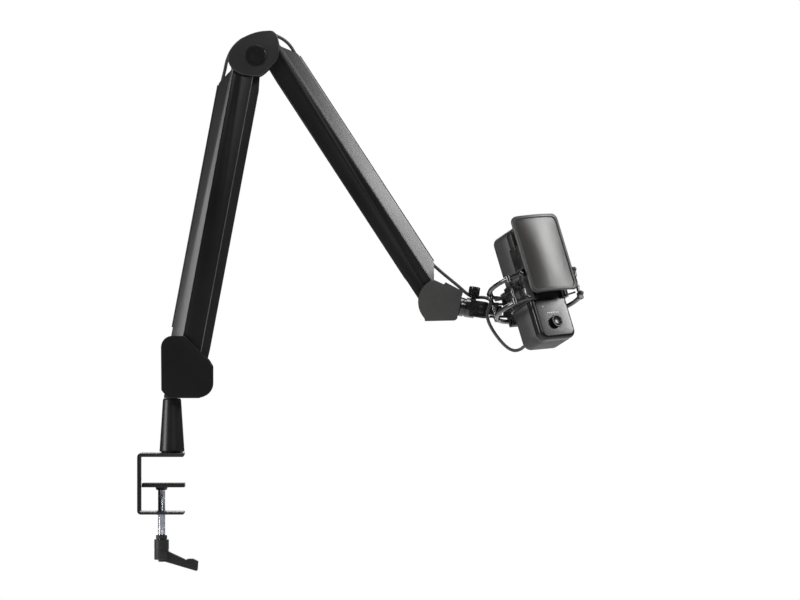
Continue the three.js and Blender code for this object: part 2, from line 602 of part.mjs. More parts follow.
function makePopFilter() {
  const { halfWidth, halfHeight, z, y, corner, strip } = pop;
  const [legHalf, footY] = [14, -13];
  const panel = (inset, r) => rectangle(halfWidth - inset, halfHeight - inset, r);
  const rim = cut(slab(panel(0, corner), y - 1.3, y + 1.3, 3),
    slab(panel(strip, corner - strip + 1), y - 3, y + 3, 3));
  const sides = [-1, 1].flatMap((s) => [
    [s * (halfWidth - 2), y + 0.5],
    [s * (mic.halfWidth + gap), footY - 2.5],
  ].map(([x, from]) => {
    const [left, right] = [x, s * halfWidth].sort((a, b) => a - b);
    return box(left, right, from, footY, -legHalf, legHalf);
  }));
  add("pop_filter_frame", joined(rim, ...sides).translate(0, 0, z), black, micPlace);
  const screen = slab(panel(strip + gap, corner - strip + 0.7), y - 0.6, y + 0.6, 3);
  add("pop_filter_screen", screen.translate(0, 0, z), mesh, micPlace);
}

// ---------------------------------------------------------------- lead
function makeLead() {
  const tailY = mic.halfDepth + 19;
  const plug = turned([[0, 13.5], [2.4, 13.5], [2.4, 20], [5, 20.4], [5, 31], [3.2, 32.5],
    [2.4, tailY - 0.5], [0, tailY - 0.5]], 12).rotateX(-Math.PI / 2);
  add("usb_plug", plug.translate(0, 0, -50), plastic, micPlace);
  const elbow = [[135.2, 428.2], [131.2, 435], [127.2, 441.3], [121.2, 447.2], [114, 451.4],
    [105.5, 455], [92.7, 454.7], [82, 451.1], [73.2, 446.6], [64.2, 436.8], [59.3, 426],
    [56.8, 415.2], [54.3, 404.9], [52.8, 398.2]];
  const over = new THREE.CatmullRomCurve3(elbow.map(([x, z]) => new THREE.Vector3(x, 0, z)));
  add("elbow_lead", tube(over, cable.radius, 20), rubber);
  const drop = [[278.8, 0, 208], [284, 0.5, 203.2], [291.5, 2, 196.6], [300, 4, 189.6],
    [308.5, 6, 182.6], [315.5, 7.6, 176.4], [321.5, 8.2, 172.4], [327.5, 6.5, 171],
    [333, 2, 171], [338, -3.8, 170.2], [342.2, -9.8, 167], [340.8, -13.2, 160.5],
    [338.6, -13.6, 153.5], [339.8, -13.8, 146], [344, -14, 137], [350, -13.2, 128.2],
    [357, -11.4, 120.2], [363, -9.5, 115.6], [368.5, -8.8, 113.9], [374, -10.2, 115.2],
    [377.4, -13, 117.7], [380.2, -16.8, 119.9]];
  const hanging = new THREE.CatmullRomCurve3(drop.map((p) => new THREE.Vector3(...p)));
  add("microphone_lead", tube(hanging, cable.radius, 34), rubber);
}

makeClamp();
makePressurePlate();
makeClampScrew();
makeLever();
makeRiser();
makeTurret();
makeLowerArm();
makeUpperArm();
makeElbow();
makeWrist();
makeTip();
makeTiltLug();
makeShockRings();
makeMountBlock();
makeCradle();
makeBands();
makeMicShells();
makeMicInside();
makeDial();
makePopFilter();
makeLead();

export default root;
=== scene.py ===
# Desk microphone on a jointed spring arm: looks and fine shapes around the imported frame
import json
import math

import bpy
from mathutils import Matrix, Vector

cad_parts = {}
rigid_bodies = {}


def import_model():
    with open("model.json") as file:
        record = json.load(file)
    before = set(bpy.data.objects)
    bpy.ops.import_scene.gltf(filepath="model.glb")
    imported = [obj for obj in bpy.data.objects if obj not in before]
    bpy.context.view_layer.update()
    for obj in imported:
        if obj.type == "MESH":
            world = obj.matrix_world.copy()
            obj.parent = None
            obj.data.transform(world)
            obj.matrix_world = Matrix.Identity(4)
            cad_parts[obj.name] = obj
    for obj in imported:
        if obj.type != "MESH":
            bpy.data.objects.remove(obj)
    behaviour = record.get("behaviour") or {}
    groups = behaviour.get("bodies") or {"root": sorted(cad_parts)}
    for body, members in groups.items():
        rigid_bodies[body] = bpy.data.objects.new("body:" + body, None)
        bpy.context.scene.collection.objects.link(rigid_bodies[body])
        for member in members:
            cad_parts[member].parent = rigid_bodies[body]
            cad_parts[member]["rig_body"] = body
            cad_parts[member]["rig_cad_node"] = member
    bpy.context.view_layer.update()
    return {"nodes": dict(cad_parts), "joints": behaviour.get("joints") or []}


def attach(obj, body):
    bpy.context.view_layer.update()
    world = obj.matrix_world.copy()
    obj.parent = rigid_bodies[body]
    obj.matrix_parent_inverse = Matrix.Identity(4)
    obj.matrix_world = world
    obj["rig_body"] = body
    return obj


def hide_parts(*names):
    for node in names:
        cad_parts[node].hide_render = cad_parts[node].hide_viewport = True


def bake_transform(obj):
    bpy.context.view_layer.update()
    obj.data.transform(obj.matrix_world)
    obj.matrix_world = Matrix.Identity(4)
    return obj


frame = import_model()
joints = {j["name"]: j for j in frame["joints"]}
mm = 0.001
inMm = Matrix.Scale(mm, 4)

# the microphone's own frame: X is its width, Z its height, -Y the way it faces
facing = Vector(joints["dial_turn"]["axis"]).normalized()
upright = Vector(joints["suspension"]["axis"]).normalized()
across = upright.cross(facing).normalized()
dialSpot = {"y": -20, "z": -46}
micCentre = (Vector(joints["dial_turn"]["pos_m"])
             - facing * (-dialSpot["y"] * mm) - upright * (dialSpot["z"] * mm))
micFrame = Matrix.Translation(micCentre) @ Matrix((across, -facing, upright)).transposed().to_4x4()
inMic = micFrame @ inMm


def frameAt(joint, xAxis):
    # a frame on a joint's point, its X along xAxis and its Y along the row's Y
    x = Vector(xAxis).normalized()
    y = Vector((0, 1, 0))
    z = x.cross(y).normalized()
    turn = Matrix((x, z.cross(x), z)).transposed().to_4x4()
    return Matrix.Translation(Vector(joints[joint]["pos_m"])) @ turn @ inMm


def between(first, second):
    return Vector(joints[second]["pos_m"]) - Vector(joints[first]["pos_m"])


inLower = frameAt("lower_arm_pitch", between("lower_arm_pitch", "elbow_level"))
inUpper = frameAt("upper_arm_pitch", between("upper_arm_pitch", "wrist_level"))
inTip = frameAt("tip_roll", joints["tip_roll"]["axis"])


# ---- shader maths
class Shade:
    def __init__(self, tree, socket):
        self.tree = tree
        self.socket = socket

    def math(self, operation, first, second=0.0):
        made = self.tree.nodes.new("ShaderNodeMath")
        made.operation = operation
        for place, value in zip(made.inputs, (first, second)):
            if isinstance(value, Shade):
                self.tree.links.new(value.socket, place)
            else:
                place.default_value = value
        return Shade(self.tree, made.outputs[0])

    def __add__(self, other):
        return self.math("ADD", self, other)

    def __radd__(self, other):
        return self.math("ADD", other, self)

    def __sub__(self, other):
        return self.math("SUBTRACT", self, other)

    def __rsub__(self, other):
        return self.math("SUBTRACT", other, self)

    def __mul__(self, other):
        return self.math("MULTIPLY", self, other)

    def __rmul__(self, other):
        return self.math("MULTIPLY", other, self)

    def node(self, kind, settings=None, output=0, **sockets):
        made = self.tree.nodes.new(kind)
        for key, value in (settings or {}).items():
            if key == "stops":
                ramp = made.color_ramp.elements
                ramp[0].position, ramp[0].color = value[0]
                ramp[1].position, ramp[1].color = value[1]
            else:
                setattr(made, key, value)
        for key, value in sockets.items():
            named = key.replace("_", " ")
            place = made.inputs[int(key[1:])] if key[1:].isdigit() else made.inputs[named]
            if isinstance(value, Shade):
                self.tree.links.new(value.socket, place)
            else:
                place.default_value = value
        return Shade(self.tree, made.outputs[output])


def newMaterial(name):
    material = bpy.data.materials.new(name)
    material.use_nodes = True
    tree = material.node_tree
    shader = tree.nodes["Principled BSDF"]
    start = Shade(tree, None)
    where = start.node("ShaderNodeTexCoord", output=3)
    return material, tree, shader, where


def grey(level, warm=0.0):
    return (level * (1 + warm), level, level * (1 - warm), 1)


def onOwnMap(where):
    # the two directions of the piece's own map
    chart = where.node("ShaderNodeTexCoord", output=2)
    parts = where.tree.nodes.new("ShaderNodeSeparateXYZ")
    where.tree.links.new(chart.socket, parts.inputs[0])
    return Shade(where.tree, parts.outputs[0]), Shade(where.tree, parts.outputs[1])


def coated(name, look):
    material, tree, shader, where = newMaterial(name)
    grain = where.node("ShaderNodeTexNoise", Vector=where, Scale=look["grain"], Detail=4.0)
    cloud = where.node("ShaderNodeTexNoise", Vector=where, Scale=look["cloud"], Detail=2.0)
    spread = where.node("ShaderNodeValToRGB", {"stops": (
        (0.3, look["dark"]), (0.7, look["light"]))}, Fac=cloud)
    point = where.node("ShaderNodeNewGeometry", output=7)
    edge = where.node("ShaderNodeValToRGB", {"stops": (
        (0.52, (0, 0, 0, 1)), (0.62, (1, 1, 1, 1)))}, Fac=point)
    worn = where.node("ShaderNodeMix", {"data_type": "RGBA"}, output=2,
                      i0=edge * look["wear"], i6=spread, i7=look["bare"])
    rough = look["rough"] + (cloud - 0.5) * look["vary"] + (grain - 0.5) * (look["vary"] * 0.6)
    bump = where.node("ShaderNodeBump", Strength=look["bump"], Distance=look["deep"], Height=grain)
    tree.links.new(worn.socket, shader.inputs["Base Color"])
    tree.links.new(rough.socket, shader.inputs["Roughness"])
    tree.links.new(bump.socket, shader.inputs["Normal"])
    shader.inputs["Metallic"].default_value = look.get("metal", 0)
    shader.inputs["Coat Weight"].default_value = look.get("coat", 0)
    shader.inputs["Coat Roughness"].default_value = 0.15
    shader.inputs["Specular IOR Level"].default_value = look.get("shine", 0.5)
    return material


coatLooks = {
    "black_powder": dict(dark=grey(0.008), light=grey(0.013), bare=grey(0.09), wear=0.35, grain=2600,
                         cloud=22, rough=0.42, vary=0.10, bump=0.35, deep=0.00012),
    "cover_black": dict(dark=grey(0.003), light=grey(0.006), bare=grey(0.05), wear=0.3, grain=3600,
                        cloud=26, rough=0.55, vary=0.1, bump=0.4, deep=0.00012, shine=0.28),
    "arm_grey": dict(dark=grey(0.007), light=grey(0.012), bare=grey(0.12), wear=0.35, grain=2600,
                     cloud=16, rough=0.34, vary=0.08, bump=0.3, deep=0.0001, shine=0.34),
    "arm_black": dict(dark=grey(0.005), light=grey(0.009), bare=grey(0.12), wear=0.35, grain=2600,
                      cloud=16, rough=0.36, vary=0.08, bump=0.3, deep=0.0001, shine=0.4),
    "riser_black": dict(dark=grey(0.012), light=grey(0.018), bare=grey(0.12), wear=0.3, grain=3000,
                        cloud=24, rough=0.4, vary=0.08, bump=0.25, deep=0.0001, shine=0.42),
    "panel_black": dict(dark=grey(0.008), light=grey(0.012), bare=grey(0.04), wear=0.2, grain=1800,
                        cloud=18, rough=0.27, vary=0.06, bump=0.05, deep=0.00005, shine=0.4),
    "edge_grey": dict(dark=grey(0.03), light=grey(0.05), bare=grey(0.3), wear=0.8, grain=2200,
                      cloud=20, rough=0.3, vary=0.08, bump=0.15, deep=0.00006),
    # painted highlight: a pale metallic grey for the bright lines along the lower arm's inner edge and the
    # shell's seam
    "painted_highlight_grey": dict(dark=grey(0.10), light=grey(0.16), bare=grey(0.3), wear=0.5, grain=2200,
                      cloud=40, rough=0.3, vary=0.08, bump=0.05, deep=0.00004, metal=0.4),
    "rim_grey": dict(dark=grey(0.022, 0.02), light=grey(0.032, 0.02), bare=grey(0.16), wear=0.6, grain=2600,
                     cloud=22, rough=0.4, vary=0.08, bump=0.2, deep=0.00008),
    # painted highlight: the pale ring on the dial knob's rim
    "painted_rim_highlight": dict(dark=grey(0.17), light=grey(0.24), bare=grey(0.6), wear=0.3, grain=1500,
                      cloud=40, rough=0.25, vary=0.06, bump=0.05, deep=0.00004),
    "satin_grey": dict(dark=grey(0.022, 0.02), light=grey(0.032, 0.02), bare=grey(0.12), wear=0.3,
                       grain=3200, cloud=26, rough=0.38, vary=0.08, bump=0.25, deep=0.0001),
    "black_plastic": dict(dark=grey(0.014), light=grey(0.02), bare=grey(0.05), wear=0.25, grain=3600,
                          cloud=30, rough=0.5, vary=0.1, bump=0.4, deep=0.00012),
    "grey_plastic": dict(dark=grey(0.055, 0.02), light=grey(0.068, 0.02), bare=grey(0.14), wear=0.3,
                         grain=3000, cloud=24, rough=0.55, vary=0.08, bump=0.4, deep=0.00012),
    "shell_grey": dict(dark=grey(0.03), light=grey(0.04), bare=grey(0.08), wear=0.3, grain=3800,
                       cloud=30, rough=0.48, vary=0.08, bump=0.35, deep=0.0001),
    "gloss_black": dict(dark=grey(0.010), light=grey(0.014), bare=grey(0.04), wear=0.2, grain=1800,
                        cloud=18, rough=0.22, vary=0.06, bump=0.05, deep=0.00005, coat=0.8),
    "black_rubber": dict(dark=grey(0.012), light=grey(0.02), bare=grey(0.04), wear=0.2, grain=2200,
                         cloud=40, rough=0.72, vary=0.14, bump=0.5, deep=0.0002),
    "plated_steel": dict(dark=(0.50, 0.52, 0.58, 1), light=(0.62, 0.64, 0.70, 1),
                         bare=grey(0.8), wear=0.3, grain=1500, cloud=60, rough=0.26, vary=0.1,
                         bump=0.08, deep=0.00006, metal=1.0),
    "gold_film": dict(dark=(0.62, 0.42, 0.16, 1), light=(0.8, 0.58, 0.25, 1), bare=grey(0.8), wear=0.1,
                      grain=900, cloud=60, rough=0.28, vary=0.1, bump=0.05, deep=0.00005, metal=1.0),
    "green_board": dict(dark=(0.012, 0.07, 0.035, 1), light=(0.02, 0.1, 0.05, 1), bare=grey(0.1),
                        wear=0.1, grain=900, cloud=80, rough=0.4, vary=0.1, bump=0.1, deep=0.0001),
}
materials = {name: coated(name, look) for name, look in coatLooks.items()}


def braided(name, look):
    # a braid of two crossing strand sets, on the piece's own map: x around, y along
    material, tree, shader, where = newMaterial(name)
    around, along = onOwnMap(where)
    turn = 2 * math.pi
    one = where.math("SINE", (around * look["strands"] + along * look["pitch"]) * turn)
    two = where.math("SINE", (around * look["strands"] - along * look["pitch"]) * turn)
    weave = where.math("MAXIMUM", one, two) * 0.5 + 0.5
    shade = where.node("ShaderNodeValToRGB", {"stops": (
        (0.2, look["dark"]), (0.9, look["light"]))}, Fac=weave)
    bump = where.node("ShaderNodeBump", Strength=0.6, Distance=0.0004, Height=weave)
    tree.links.new(shade.socket, shader.inputs["Base Color"])
    tree.links.new((0.75 - weave * 0.2).socket, shader.inputs["Roughness"])
    tree.links.new(bump.socket, shader.inputs["Normal"])
    return material


braidLooks = {
    "braid": dict(strands=6.0, pitch=420.0, dark=grey(0.02), light=grey(0.11)),
    "band_cord": dict(strands=4.0, pitch=700.0, dark=grey(0.006), light=grey(0.03)),
}
for name, look in braidLooks.items():
    materials[name] = braided(name, look)


def wireMesh(name, look):
    # fine woven wire, on the piece's own map: x across, y along
    material, tree, shader, where = newMaterial(name)
    x, y = onOwnMap(where)
    turn = 2 * math.pi
    wave = where.math("SINE", x * (look["across"] * turn)) * where.math("SINE", y * (look["along"] * turn))
    wires = wave * 0.5 + 0.5
    cloud = where.node("ShaderNodeTexNoise", Vector=where, Scale=30.0, Detail=2.0)
    shade = where.node("ShaderNodeValToRGB", {"stops": (
        (0.1, look["dark"]), (0.9, look["light"]))}, Fac=wires * 0.8 + cloud * 0.2)
    bump = where.node("ShaderNodeBump", Strength=look["bump"], Distance=0.0001, Height=wires)
    tree.links.new(shade.socket, shader.inputs["Base Color"])
    tree.links.new((look["rough"] - wires * 0.15).socket, shader.inputs["Roughness"])
    tree.links.new(bump.socket, shader.inputs["Normal"])
    shader.inputs["Metallic"].default_value = look["metal"]
    return material


wireLooks = {
    "mesh_grey": dict(across=90, along=140, dark=grey(0.014, 0.04), light=grey(0.055, 0.05), rough=0.35,
                      metal=0.08, bump=0.3),
    "grille_wire": dict(across=1.0, along=1.0, dark=grey(0.006), light=grey(0.05), rough=0.5, metal=0.5,
                        bump=1.0),
}
for name, look in wireLooks.items():
    materials[name] = wireMesh(name, look)


def glowing(name, look):
    material, tree, shader, where = newMaterial(name)
    haze = where.node("ShaderNodeTexNoise", Vector=where, Scale=900.0)
    tree.links.new((0.3 + haze * 0.2).socket, shader.inputs["Roughness"])
    shader.inputs["Base Color"].default_value = look["colour"]
    shader.inputs["Emission Color"].default_value = look["colour"]
    shader.inputs["Emission Strength"].default_value = look["strength"]
    return material


materials["led_white"] = glowing("led_white", dict(colour=(0.95, 0.97, 1.0, 1), strength=0.9))
print("materials made:", len(materials))


# ---- modelling helpers
def deselect():
    if bpy.context.object and bpy.context.object.mode != "OBJECT":
        bpy.ops.object.mode_set(mode="OBJECT")
    bpy.ops.object.select_all(action="DESELECT")


def choose(piece):
    deselect()
    piece.select_set(True)
    bpy.context.view_layer.objects.active = piece


def applyAll(piece):
    choose(piece)
    for modifier in list(piece.modifiers):
        bpy.ops.object.modifier_apply(modifier=modifier.name)


def cleaned(piece, merge=0.002):
    choose(piece)
    bpy.ops.object.mode_set(mode="EDIT")
    bpy.ops.mesh.select_all(action="SELECT")
    bpy.ops.mesh.remove_doubles(threshold=merge)
    bpy.ops.mesh.normals_make_consistent(inside=False)
    bpy.ops.object.mode_set(mode="OBJECT")


def linked(name, vertices, edges, faces):
    mesh = bpy.data.meshes.new(name)
    mesh.from_pydata(vertices, edges, faces)
    piece = bpy.data.objects.new(name, mesh)
    bpy.context.scene.collection.objects.link(piece)
    return piece


def smoothed(piece, angle=35):
    choose(piece)
    bpy.ops.object.shade_smooth_by_angle(angle=math.radians(angle))


def bevelled(piece, width, segments=2, angle=30):
    bevel = piece.modifiers.new("edges", "BEVEL")
    bevel.width = width
    bevel.segments = segments
    bevel.limit_method = "ANGLE"
    bevel.angle_limit = math.radians(angle)
    bevel.use_clamp_overlap = True
    bevel.miter_outer = "MITER_ARC"
    applyAll(piece)


def sealed(piece):
    # the object goes to the origin, its place moves into its mesh, and its faces point outwards
    choose(piece)
    bpy.ops.object.transform_apply(location=True, rotation=True, scale=True)
    bpy.ops.object.mode_set(mode="EDIT")
    bpy.ops.mesh.select_all(action="SELECT")
    bpy.ops.mesh.normals_make_consistent(inside=False)
    bpy.ops.object.mode_set(mode="OBJECT")
    return piece


def turned(name, profile, sides=48):
    # a disc raised about Z through (radius, height) steps
    r, z = profile[0]
    deselect()
    bpy.ops.mesh.primitive_circle_add(vertices=sides, radius=r, fill_type="NGON", location=(0, 0, z))
    piece = bpy.context.object
    piece.name = piece.data.name = name
    bpy.ops.object.mode_set(mode="EDIT")
    bpy.ops.mesh.select_all(action="SELECT")
    for nextR, nextZ in profile[1:]:
        bpy.ops.mesh.extrude_region_move(TRANSFORM_OT_translate={"value": (0, 0, nextZ - z)})
        bpy.ops.transform.resize(value=(nextR / r, nextR / r, 1), center_override=(0, 0, nextZ))
        r, z = nextR, nextZ
    return sealed(piece)


def slab(name, points, low, high, edge=0.5, segments=2):
    # a closed outline of (x, z) points given thickness along Y, its rims rounded
    deselect()
    bpy.ops.mesh.primitive_circle_add(vertices=len(points), radius=1, fill_type="NGON")
    piece = bpy.context.object
    piece.name = piece.data.name = name
    for vertex, (x, z) in zip(piece.data.vertices, points):
        vertex.co = (x, low, z)
    bpy.ops.object.mode_set(mode="EDIT")
    bpy.ops.mesh.select_all(action="SELECT")
    bpy.ops.mesh.extrude_region_move(TRANSFORM_OT_translate={"value": (0, high - low, 0)})
    sealed(piece)
    if edge:
        bevelled(piece, edge, segments, 50)
    return piece


def block(name, low, high, edge=0.6, segments=2):
    size = Vector(high) - Vector(low)
    deselect()
    bpy.ops.mesh.primitive_cube_add(size=1, location=(Vector(high) + Vector(low)) / 2)
    piece = bpy.context.object
    piece.name = piece.data.name = name
    piece.scale = size
    sealed(piece)
    bevelled(piece, edge, segments)
    return piece


def tipped(piece, axis):
    # turns a piece made about Z so that it stands along X or Y
    turns = {"X": ("Y", 90), "Y": ("X", -90)}
    name, angle = turns[axis]
    piece.data.transform(Matrix.Rotation(math.radians(angle), 4, name))
    return piece


def shifted(piece, x, y, z):
    piece.data.transform(Matrix.Translation((x, y, z)))
    return piece


def merged(name, *pieces):
    deselect()
    for piece in pieces:
        piece.select_set(True)
    bpy.context.view_layer.objects.active = pieces[0]
    bpy.ops.object.join()
    pieces[0].name = pieces[0].data.name = name
    return pieces[0]


def carved(piece, *tools):
    for tool in tools:
        cut = piece.modifiers.new("cut", "BOOLEAN")
        cut.operation = "DIFFERENCE"
        cut.solver = "EXACT"
        cut.object = tool
    applyAll(piece)
    for tool in tools:
        bpy.data.objects.remove(tool)
    return piece


def settled(piece, place, body, finish, replaces=(), angle=35):
    piece.data.transform(place)
    if place.to_3x3().determinant() < 0:
        piece.data.flip_normals()
    smoothed(piece, angle)
    piece.data.materials.clear()
    piece.data.materials.append(materials[finish])
    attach(piece, body)
    if replaces:
        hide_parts(*replaces)
    return piece


def refined(node, finish, width=0.4, flat=1.5):
    # the CAD shape itself, with its long flats restored and its edges rounded
    source = frame["nodes"][node]
    piece = source.copy()
    piece.data = source.data.copy()
    piece.name = piece.data.name = node.title().replace("_", "") + "Body"
    piece.parent = None
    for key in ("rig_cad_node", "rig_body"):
        if key in piece:
            del piece[key]
    bpy.context.scene.collection.objects.link(piece)
    choose(piece)
    bpy.ops.object.mode_set(mode="EDIT")
    bpy.ops.mesh.select_all(action="SELECT")
    bpy.ops.mesh.remove_doubles(threshold=0.000002)
    bpy.ops.mesh.dissolve_limited(angle_limit=math.radians(flat))
    bpy.ops.object.mode_set(mode="OBJECT")
    bevelled(piece, width * mm)
    return settled(piece, Matrix.Identity(4), source["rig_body"], finish, (node,))


def repaint(node, finish):
    part = frame["nodes"][node]
    part.data.materials.clear()
    part.data.materials.append(materials[finish])


def arcPoints(corners, steps=8):
    # a closed outline from (x, y, radius) corners, each turned by an arc
    points = []
    count = len(corners)
    for i, (x, y, r) in enumerate(corners):
        here = Vector((x, y))
        back = Vector(corners[i - 1][:2]) - here
        on = Vector(corners[(i + 1) % count][:2]) - here
        if not r:
            points.append((x, y))
            continue
        half = back.angle(on) / 2
        reach = min(r / math.tan(half), 0.49 * min(back.length, on.length))
        r = reach * math.tan(half)
        enter = here + back.normalized() * reach
        centre = here + (back.normalized() + on.normalized()).normalized() * (r / math.sin(half))
        start = enter - centre
        sweep = math.pi - 2 * half
        way = 1 if back.cross(on) < 0 else -1
        for k in range(steps + 1):
            turn = way * sweep * k / steps
            points.append((centre.x + start.x * math.cos(turn) - start.y * math.sin(turn),
                           centre.y + start.x * math.sin(turn) + start.y * math.cos(turn)))
    return points


def roundedBox(halfX, halfZ, r, steps=8):
    r = max(r, 0.3)
    points = []
    for cx, cz, start in ((1, 1, 0), (-1, 1, 90), (-1, -1, 180), (1, -1, 270)):
        for k in range(steps + 1):
            turn = math.radians(start + 90 * k / steps)
            points.append((cx * (halfX - r) + r * math.cos(turn), cz * (halfZ - r) + r * math.sin(turn)))
    return points


def sideFaces(levels, count):
    # the walls between rings of the same count
    faces = []
    for level in range(levels - 1):
        a, b = level * count, (level + 1) * count
        for i in range(count):
            j = (i + 1) % count
            faces.append((a + i, a + j, b + j, b + i))
    return faces


def lofted(name, rings, caps=(True, True)):
    # each ring is a closed loop of points with the same count
    count = len(rings[0])
    vertices = [p for ring in rings for p in ring]
    faces = sideFaces(len(rings), count)
    if caps[0]:
        faces.append(tuple(range(count)))
    if caps[1]:
        last = (len(rings) - 1) * count
        faces.append(tuple(range(last + count - 1, last - 1, -1)))
    piece = linked(name, vertices, [], faces)
    cleaned(piece, 0.0001)
    return piece


def curvedPath(points, per=8):
    # a centripetal Catmull-Rom curve through the points
    points = [Vector(p) for p in points]
    first = points[0] * 2 - points[1]
    last = points[-1] * 2 - points[-2]
    full = [first] + points + [last]
    found = []
    for i in range(1, len(full) - 2):
        p0, p1, p2, p3 = full[i - 1:i + 3]
        t0 = 0.0
        t1 = t0 + (p1 - p0).length ** 0.5
        t2 = t1 + (p2 - p1).length ** 0.5
        t3 = t2 + (p3 - p2).length ** 0.5
        for k in range(per):
            t = t1 + (t2 - t1) * k / per
            a1 = p0 * ((t1 - t) / (t1 - t0)) + p1 * ((t - t0) / (t1 - t0))
            a2 = p1 * ((t2 - t) / (t2 - t1)) + p2 * ((t - t1) / (t2 - t1))
            a3 = p2 * ((t3 - t) / (t3 - t2)) + p3 * ((t - t2) / (t3 - t2))
            b1 = a1 * ((t2 - t) / (t2 - t0)) + a2 * ((t - t0) / (t2 - t0))
            b2 = a2 * ((t3 - t) / (t3 - t1)) + a3 * ((t - t1) / (t3 - t1))
            found.append(b1 * ((t2 - t) / (t2 - t1)) + b2 * ((t - t1) / (t2 - t1)))
    found.append(points[-1])
    return found


def pathLength(path):
    return sum((b - a).length for a, b in zip(path, path[1:]))


def tubed(name, path, radius, sides=14):
    # a closed tube along a path, with a map: x around, y along in metres
    rings = []
    side = None
    for i, here in enumerate(path):
        ahead = (path[min(i + 1, len(path) - 1)] - path[max(i - 1, 0)]).normalized()
        if side is None:
            side = ahead.orthogonal().normalized()
        side = (side - ahead * side.dot(ahead)).normalized()
        other = ahead.cross(side)
        rings.append([here + (side * math.cos(2 * math.pi * k / sides)
                              + other * math.sin(2 * math.pi * k / sides)) * radius
                      for k in range(sides)])
    vertices = [p for ring in rings for p in ring]
    faces = sideFaces(len(rings), sides)
    faces.append(tuple(range(sides - 1, -1, -1)))
    last = (len(rings) - 1) * sides
    faces.append(tuple(range(last, last + sides)))
    piece = linked(name, vertices, [], faces)
    chart = piece.data.uv_layers.new(name="along")
    walked = [0.0]
    for a, b in zip(path, path[1:]):
        walked.append(walked[-1] + (b - a).length)
    loop = 0
    for level in range(len(rings) - 1):
        for i in range(sides):
            for u, v in ((i, level), (i + 1, level), (i + 1, level + 1), (i, level + 1)):
                chart.data[loop].uv = (u / sides, walked[v])
                loop += 1
    return piece


# ---- camera and stage
view = {"centre": (0.2451, 0.1682), "width": 0.86, "lens": 300}
bpy.context.scene.view_settings.view_transform = "Standard"
cameraData = bpy.data.cameras.new("camera")
cameraData.lens = view["lens"]
cameraData.clip_end = 50
distance = view["width"] * view["lens"] / cameraData.sensor_width
camera = bpy.data.objects.new("camera", cameraData)
camera.location = (view["centre"][0], -distance, view["centre"][1])
camera.rotation_euler = (math.radians(90), 0, 0)
bpy.context.scene.collection.objects.link(camera)
bpy.context.scene.camera = camera

bpy.ops.mesh.primitive_plane_add(size=5, location=(0.2, 0, -0.5))
floor = bpy.context.object
floor.name = "floor"
floorMaterial = bpy.data.materials.new("floor_pale")
floorMaterial.use_nodes = True
floorShader = floorMaterial.node_tree.nodes["Principled BSDF"]
floorShader.inputs["Base Color"].default_value = grey(0.85)
floorShader.inputs["Roughness"].default_value = 0.8
floor.data.materials.append(floorMaterial)

world = bpy.data.worlds.new("studio")
bpy.context.scene.world = world
world.use_nodes = True
air = world.node_tree
seen = air.nodes.new("ShaderNodeLightPath")
paper = air.nodes.new("ShaderNodeBackground")
paper.inputs["Color"].default_value = (1, 1, 1, 1)
paper.inputs["Strength"].default_value = 1.0
fill = air.nodes["Background"]
fill.inputs["Color"].default_value = (1, 1, 1, 1)
fill.inputs["Strength"].default_value = 0.06
blendAir = air.nodes.new("ShaderNodeMixShader")
air.links.new(seen.outputs["Is Camera Ray"], blendAir.inputs[0])
air.links.new(fill.outputs[0], blendAir.inputs[1])
air.links.new(paper.outputs[0], blendAir.inputs[2])
air.links.new(blendAir.outputs[0], air.nodes["World Output"].inputs["Surface"])

softboxes = {
    "sideLeft": dict(at=(-2.1, -0.62, 0.42), size=(0.5, 0.75), power=26),
    "sideRight": dict(at=(2.0, 0.05, 1.28), size=(0.5, 0.6), power=26),
    "frontHigh": dict(at=(0.9, -2.2, 1.7), size=(0.8, 0.6), power=16),
    "overhead": dict(at=(0.3, 0.1, 2.0), size=(1.4, 1.0), power=22),
    "behind": dict(at=(0.4, 1.9, 1.0), size=(1.6, 1.0), power=20),
}
aim = Vector((0.24, 0, 0.2))
for name, spec in softboxes.items():
    lamp = bpy.data.lights.new(name, "AREA")
    lamp.shape = "RECTANGLE"
    lamp.size, lamp.size_y = spec["size"]
    lamp.energy = spec["power"]
    holder = bpy.data.objects.new(name, lamp)
    holder.location = spec["at"]
    holder.rotation_euler = (aim - Vector(spec["at"])).to_track_quat("-Z", "Y").to_euler()
    bpy.context.scene.collection.objects.link(holder)
print("camera and lights set")

# ---- the lead, cut into equal lengths, one for each joint between the listed bodies
lead = {"radius": 1.75, "sides": 16}
elbowRoute = [(135.2, 428.2), (131.2, 435), (127.2, 441.3), (121.2, 447.2), (114, 451.4),
              (105.5, 455), (92.7, 454.7), (82, 451.1), (73.2, 446.6), (64.2, 436.8), (59.3, 426),
              (56.8, 415.2), (54.3, 404.9), (52.8, 398.2)]
microphoneRoute = [(278.8, 0, 208), (284, 0.5, 203.2), (291.5, 2, 196.6), (300, 4, 189.6),
                   (308.5, 6, 182.6), (315.5, 7.6, 176.4), (321.5, 8.2, 172.4), (327.5, 6.5, 171),
                   (333, 2, 171), (338, -3.8, 170.2), (342.2, -9.8, 167), (340.8, -13.2, 160.5),
                   (338.6, -13.6, 153.5), (339.8, -13.8, 146), (344, -14, 137),
                   (350, -13.2, 128.2), (357, -11.4, 120.2), (363, -9.5, 115.6),
                   (368.5, -8.8, 113.9), (374, -10.2, 115.2), (377.4, -13, 117.7),
                   (380.2, -16.8, 119.9)]


def cutPath(path, parts):
    # equal lengths of a path, each starting where the one before ends
    total = pathLength(path)
    found = []
    walked = 0.0
    current = [path[0]]
    for a, b in zip(path, path[1:]):
        current.append(b)
        walked += (b - a).length
        if walked >= total * (len(found) + 1) / parts and len(found) < parts - 1:
            found.append(current)
            current = [b]
    return found + [current]


